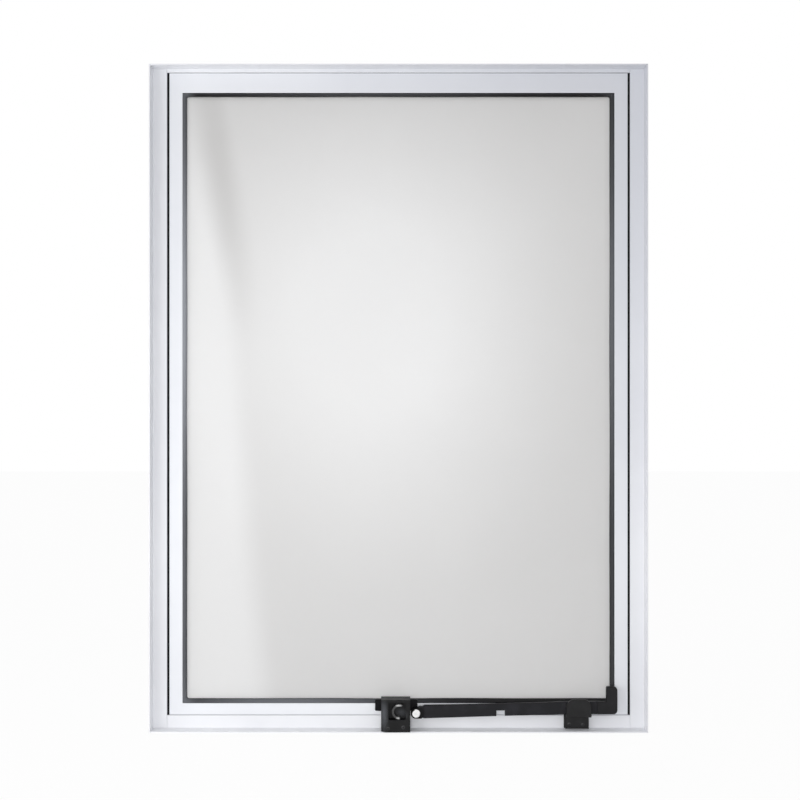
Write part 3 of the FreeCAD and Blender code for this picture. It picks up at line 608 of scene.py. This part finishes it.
@dataclass(frozen=True)
class Sash:
    """The stiles, rails and glazing beads of the part that opens."""

    upright: PowderCoat = PowderCoat("sash_coat_upright", Run.UPRIGHT, pale=SASH_PALE, dull=SASH_DULL)
    across: PowderCoat = PowderCoat("sash_coat_across", Run.ACROSS, pale=SASH_PALE, dull=SASH_DULL)

    def build(self) -> None:
        """Coats each member along its run."""
        stiles = ("sash_left_stile", "sash_right_stile", "glazing_bead_left", "glazing_bead_right")
        rails = ("sash_bottom_rail", "sash_top_rail", "glazing_bead_bottom", "glazing_bead_top")
        dress(self.upright.material(), *stiles)
        dress(self.across.material(), *rails)


@dataclass(frozen=True)
class Glazing:
    """The pane and the rubber that holds it, the room side as one band with softened corners."""

    leg: float = 4 * MM
    lip: float = 5.3 * MM
    lip_shares: tuple[float, float, float, float] = (1.0, 0.74, 0.92, 0.94)
    nose_rise: float = 0.8 * MM
    nose_flat: float = 1.5 * MM
    corner: float = 2.6 * MM
    sharp: float = 0.3 * MM
    wave: float = 0.22 * MM
    waves: int = 3
    side_steps: int = 120
    corner_steps: int = 9
    rubber: BlackFinish = BlackFinish(
        name="gasket_rubber_skin",
        dark=(18, 18, 20),
        worn=(30, 30, 32),
        roughness=0.5,
        grain_waves=700.0,
        grain_rise=0.04 * MM,
        specular=0.2,
        # Painted sheen: pale patches where the band's left, right, top and bottom catch the light.
        painted_light_patches=(
            Patch((-0.2625, 0.40), (0.02, 1.20), 0.48),
            Patch((-0.27, 0.50), (0.16, 0.26), 1.3),
            Patch((0.2625, 0.40), (0.02, 1.20), 0.15),
            Patch((0.27, 0.50), (0.08, 0.28), 0.36),
            Patch((-0.04, 0.79), (0.25, 0.06), 0.17),
            Patch((-0.13, 0.03), (0.21, 0.06), 0.54),
        ),
        painted_light_colour=(150, 153, 159),
    )

    def section(self) -> tuple[np.ndarray, np.ndarray]:
        """The band's closed outline from the hidden foot round the nose to the tip on the pane.

        Past the flat nose the outline follows a quarter circle down to the tip.

        Returns:
            Distances inward from the hidden edge, and depths along Y, in metres.
        """
        low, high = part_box("inner_gasket_left")
        seat, pane = low.y + self.nose_rise, high.y
        bend = self.lip - self.nose_flat
        turn = np.linspace(0.0, math.pi / 2, self.corner_steps)
        nose = self.leg + self.nose_flat + bend * np.sin(turn)
        inward = np.concatenate([[0.0, self.leg, self.leg], nose, [self.leg + self.lip, 0.0]])
        depth = np.concatenate([[seat, seat, low.y], low.y + bend * (1 - np.cos(turn)), [pane, pane]])
        return inward, depth

    def loop(self, inward: np.ndarray) -> np.ndarray:
        """The rounded rectangle at each distance inward, with slight waves along its sides.

        Past the leg, the distance on each side is scaled by that side's share. The sides' numbers are
        right 0, top 1, left 2 and bottom 3. Corner points are centre + radius * (cos, sin). Side points run
        straight between two corners, moved inward by wave * share * sin(2 pi waves s + phase) * sin(pi s),
        with s from 0 to 1 along the side.

        Args:
            inward: distances from the hidden edge.

        Returns:
            X and Z as (points round the loop, distances, 2).
        """
        left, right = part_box("inner_gasket_left")[0].x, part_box("inner_gasket_right")[1].x
        low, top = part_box("inner_gasket_bottom")[0].z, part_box("inner_gasket_top")[1].z
        share = np.clip((inward - self.leg) / self.lip, 0.0, 1.0)
        radius = self.sharp + (self.corner - self.sharp) * share
        past = share * self.lip
        reach = (inward - past)[None, :] + past[None, :] * np.array(self.lip_shares)[:, None]
        edges = np.array([right, top, left, low])[:, None] - np.array([1, 1, -1, -1])[:, None] * reach
        arcs = []
        for quarter, (x_side, z_side) in enumerate(((0, 1), (2, 1), (2, 3), (0, 3))):
            angle = (quarter + np.linspace(0.0, 1.0, self.corner_steps)) * math.pi / 2
            ray = np.stack([np.cos(angle), np.sin(angle)], axis=-1)
            corner = np.stack([edges[x_side], edges[z_side]], axis=-1)
            outward = np.array([1 - x_side, 2 - z_side])
            centre = corner - outward * radius[:, None]
            arcs.append(centre[None] + radius[None, :, None] * ray[:, None, :])
        along = np.linspace(0.0, 1.0, self.side_steps + 2)[1:-1, None, None]
        blocks = []
        for quarter, arc in enumerate(arcs):
            start, end = arc[-1][None], arcs[(quarter + 1) % 4][0][None]
            angle = (quarter + 1) * math.pi / 2
            normal = np.array([math.cos(angle), math.sin(angle)])
            swing = np.sin(2 * self.waves * math.pi * along + quarter) * np.sin(math.pi * along)
            shift = -self.wave * share[None, :, None] * swing * normal
            blocks += [arc, start + (end - start) * along + shift]
        return np.concatenate(blocks)

    def build(self) -> None:
        """Makes the band in place of the four plain strips, and dresses pane and rubber."""
        inward, depth = self.section()
        flat = self.loop(inward)
        deep = np.broadcast_to(depth[None, :, None], (*flat.shape[:2], 1))
        grid = np.concatenate([flat[..., :1], deep, flat[..., 1:]], axis=-1)
        band = skin("glazing_gasket_band", grid, wrap_rows=True, wrap_columns=True)
        rubber = self.rubber.material()
        place_piece(band, rubber, "window")
        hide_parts(*(f"inner_gasket_{side.value}" for side in Side))
        dress(rubber, *(f"outer_gasket_{side.value}" for side in Side))
        dress(ObscureGlass().material(), "glass_pane")


@dataclass(frozen=True)
class WeatherSeals:
    """The bulb seals that close the gap round the sash, and the blocks under the pane."""

    rubber: BlackFinish = BlackFinish(
        name="seal_rubber_skin",
        dark=(16, 16, 18),
        worn=(30, 30, 32),
        roughness=0.65,
        grain_waves=500.0,
        grain_rise=0.05 * MM,
        specular=0.25,
    )

    def build(self) -> None:
        """Dresses the seals and the blocks."""
        names = [f"weather_seal_{place}" for place in ("left", "right", "head", "sill")]
        dress(self.rubber.material(), *names, "setting_blocks")


@dataclass(frozen=True)
class ScrewHead:
    """A countersunk screw's head with a cross recess, its axis along Y and its turn in radians."""

    name: str
    across: float
    up: float
    face: float
    turn: float
    radius: float = 2.3 * MM
    rise: float = 0.45 * MM
    recess: float = 1.3 * MM
    arm: float = 1.5 * MM
    arm_slope: float = 0.3
    slot: float = 0.32 * MM
    slot_slope: float = 0.4
    base_depth: float = 1.1
    crowding: float = 0.8
    rings: int = 26
    spokes: int = 64

    def build(self, material: bpy.types.Material) -> None:
        """Makes the head.

        Its height is rise * (1 - (r / R)^2) less a recess that fades from full depth inside the two crossed
        slots to nothing at their walls and ends, over the slopes' shares of the slot and the arm. A straight
        skirt and a flat base, base_depth recesses behind the face, close it. Ring k lies at R * k^crowding,
        with k from 0 to 1.

        Args:
            material: the head's finish.
        """
        ring = np.linspace(0.0, 1.0, self.rings)[1:] ** self.crowding * self.radius
        angle = np.arange(self.spokes) / self.spokes * 2 * math.pi
        r, swing = np.meshgrid(ring, angle, indexing="ij")
        x, z = r * np.cos(swing), r * np.sin(swing)
        aside = np.minimum(np.abs(x), np.abs(z))
        from_wall = np.clip((self.slot - aside) / (self.slot_slope * self.slot), 0, 1)
        from_end = np.clip((self.arm - r) / (self.arm_slope * self.arm), 0, 1)
        height = self.rise * (1 - (r / self.radius) ** 2) - self.recess * (from_wall * from_end)
        base = np.full((1, self.spokes), -self.base_depth * self.recess)
        spread = np.vstack([r, r[-1:]])
        height = np.vstack([height, base])
        swing = np.vstack([swing, swing[-1:]]) + self.turn
        parts = (self.across + spread * np.cos(swing), self.face - height, self.up + spread * np.sin(swing))
        tips = (self.rise - self.recess, base[0, 0])
        poles = np.array([[self.across, self.face - tip, self.up] for tip in tips])
        head = skin(self.name, np.stack(parts, axis=-1), wrap_columns=True, poles=poles)
        place_piece(head, material, "window")


@dataclass(frozen=True)
class Stay:
    """The bracket, bar, grip and bright pin."""

    steel: BlackFinish = BlackFinish(
        name="bar_coat",
        dark=(34, 34, 37),
        worn=(44, 44, 48),
        roughness=0.33,
        grain_waves=800.0,
        grain_rise=0.02 * MM,
        specular=0.1,
        # Painted shade: the bar darkens to near black round the pin.
        painted_light_patches=(Patch((22.5 * MM, 21.6 * MM), (13.0 * MM, 13.0 * MM), 2.2),),
        painted_light_colour=(8, 8, 9),
    )
    plate: BlackFinish = BlackFinish(
        name="bracket_coat",
        dark=(12, 12, 15),
        worn=(21, 21, 25),
        roughness=0.35,
        grain_waves=800.0,
        grain_rise=0.02 * MM,
        specular=0.08,
    )
    nylon: BlackFinish = BlackFinish(
        name="grip_nylon",
        dark=(18, 18, 20),
        worn=(29, 29, 31),
        roughness=0.41,
        grain_waves=1500.0,
        grain_rise=0.02 * MM,
        specular=0.19,
    )

    def build(self) -> None:
        """Dresses the stay's four pieces."""
        low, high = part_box("pivot_pin")
        centre = ((low.x + high.x) / 2, (low.z + high.z) / 2)
        dress(self.steel.material(), "stay_bar")
        dress(self.plate.material(), "sash_bracket")
        dress(self.nylon.material(), "bar_grip")
        dress(TurnedSteel("pin_steel", centre).material(), "pivot_pin")


@dataclass(frozen=True)
class Catches:
    """The keeper at the bar's end and the guide on the sill, with their screws' places in X and Z."""

    leg_front: float = 5.5 * MM
    face_behind_lip: float = 0.6 * MM
    keeper_screws: tuple[tuple[float, float], ...] = ((207.0 * MM, 7.0 * MM), (223.4 * MM, 6.4 * MM))
    guide_screws: tuple[tuple[float, float], ...] = ((-12.6 * MM, 6.2 * MM), (5.6 * MM, 7.6 * MM))
    screw_turn: float = 0.7
    nylon: BlackFinish = BlackFinish(
        name="keeper_nylon",
        dark=(22, 22, 23),
        worn=(34, 34, 35),
        roughness=0.39,
        grain_waves=1500.0,
        grain_rise=0.02 * MM,
        specular=0.2,
    )
    shell: BlackFinish = BlackFinish(
        name="housing_coat",
        dark=(16, 16, 17),
        worn=(28, 28, 29),
        roughness=0.39,
        grain_waves=1500.0,
        grain_rise=0.02 * MM,
        specular=0.15,
        # Painted highlight down the left bevel, and painted light inside the recess.
        painted_light_patches=(
            Patch((-17.5 * MM, 22.0 * MM), (7.0 * MM, 26.0 * MM), 0.42),
            Patch((3.0 * MM, 22.5 * MM), (11.0 * MM, 8.0 * MM), 0.3),
        ),
    )
    casting: BlackFinish = BlackFinish(
        name="hook_painted_highlights",
        dark=(30, 30, 31),
        worn=(46, 46, 47),
        roughness=0.35,
        grain_waves=1200.0,
        grain_rise=0.02 * MM,
        specular=0.5,
        # Painted highlights on the hook's top and lower tip.
        painted_light_patches=(
            Patch((-0.3 * MM, 33.4 * MM), (6.0 * MM, 2.4 * MM), 1.0),
            Patch((-0.6 * MM, 17.9 * MM), (3.4 * MM, 2.4 * MM), 1.0),
        ),
        painted_light_colour=(214, 214, 214),
    )
    zinc: BlackFinish = BlackFinish(
        name="screw_black",
        dark=(22, 22, 24),
        worn=(42, 42, 44),
        roughness=0.27,
        grain_waves=900.0,
        grain_rise=0.01 * MM,
        specular=0.4,
    )

    def build(self) -> None:
        """Dresses both catches and puts in their screws."""
        nylon, zinc = self.nylon.material(), self.zinc.material()
        dress(nylon, "keeper_plate", "keeper_clip")
        dress(self.shell.material(), "guide_housing")
        dress(self.casting.material(), "guide_hook")
        guide_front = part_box("guide_housing")[0].y + self.face_behind_lip
        keeper = ("keeper_screw", self.keeper_screws, -self.leg_front)
        guide = ("guide_screw", self.guide_screws, guide_front)
        for label, places, face in (keeper, guide):
            for number, (across, up) in enumerate(places, start=1):
                turn = self.screw_turn * number
                ScrewHead(f"{label}_{number}", across, up, face, turn).build(zinc)


# Studio


@dataclass(frozen=True)
class Lamp:
    """A square soft light aimed at the window's middle."""

    name: str
    place: tuple[float, float, float]
    size: float
    power: float
    aim: tuple[float, float, float] = (0.0, 0.0, 0.4)

    def build(self) -> None:
        """Puts the lamp in the scene."""
        light = bpy.data.lights.new(self.name, "AREA")
        light.size = self.size
        light.energy = self.power
        lamp = bpy.data.objects.new(self.name, light)
        lamp.location = self.place
        beam = Vector(self.aim) - lamp.location
        lamp.rotation_euler = beam.to_track_quat("-Z", "Y").to_euler()
        bpy.context.scene.collection.objects.link(lamp)


@dataclass(frozen=True)
class Studio:
    """A pale floor, soft light and a camera where the photograph was taken from."""

    camera_place: tuple[float, float, float] = (0.0018, -1.665, 0.4)
    lens: float = 61.625
    sensor: float = 36.0
    key: Lamp = Lamp("key_light", (-0.04, -1.6, 0.18), size=0.34, power=6.3)
    side: Lamp = Lamp("side_light", (-0.8, -0.65, 0.32), size=0.8, power=4.0)
    sky_strength: float = 0.49
    sky_colour: tuple[float, float, float, float] = (0.985, 0.985, 1.0, 1.0)
    floor_reach: float = 6.0
    floor_paint: tuple[float, float, float, float] = (0.9, 0.9, 0.9, 1.0)
    floor_share: float = 0.96

    def floor(self) -> None:
        """A wide plain floor, white to the eye, that keeps a little of the window's soft shadow."""
        steps = np.linspace(-self.floor_reach, self.floor_reach, 2)
        x, y = np.meshgrid(steps, steps, indexing="ij")
        ground = skin("studio_floor", np.stack([x, y, np.zeros_like(x)], axis=-1))
        recipe = Recipe("studio_floor_white")
        paint = recipe.node("ShaderNodeBsdfDiffuse", inputs={"Color": self.floor_paint}, output="BSDF")
        glow = recipe.node("ShaderNodeEmission", inputs={"Strength": 1.0})
        share = recipe.seen_plainly() * self.floor_share
        both = recipe.node("ShaderNodeMixShader", inputs={0: share, 1: paint, 2: glow})
        ground.data.materials.append(recipe.close(both))

    def sky(self) -> None:
        """An even world light that reads as white to the eye, in gloss and through the pane."""
        recipe = Recipe("studio_world", "worlds")
        light = {"Color": self.sky_colour, "Strength": self.sky_strength}
        plain = recipe.node("ShaderNodeBackground", inputs=light)
        white = recipe.node("ShaderNodeBackground", inputs={"Color": WHITE, "Strength": 1.0})
        both = recipe.node("ShaderNodeMixShader", inputs={0: recipe.seen_plainly(), 1: plain, 2: white})
        bpy.context.scene.world = recipe.close(both, "ShaderNodeOutputWorld")

    def camera(self) -> None:
        """The camera, level and straight at the window."""
        data = bpy.data.cameras.new("photo_camera")
        data.sensor_width = self.sensor
        data.lens = self.lens
        camera = bpy.data.objects.new("photo_camera", data)
        camera.location = self.camera_place
        camera.rotation_euler = (math.pi / 2, 0.0, 0.0)
        bpy.context.scene.collection.objects.link(camera)
        bpy.context.scene.camera = camera

    def build(self) -> None:
        """Sets up floor, lights, camera and the plain view of colour."""
        self.floor()
        self.sky()
        self.key.build()
        self.side.build()
        self.camera()
        bpy.context.scene.view_settings.view_transform = "Standard"


def main() -> None:
    """Builds the sub-assemblies in order."""
    logging.basicConfig(level=logging.INFO, format="%(message)s")
    Studio().build()
    for assembly in (OuterFrame(), Sash(), Glazing(), WeatherSeals(), Stay(), Catches()):
        assembly.build()
        LOG.info("built %s", type(assembly).__name__)


if __name__ == "__main__":
    main()
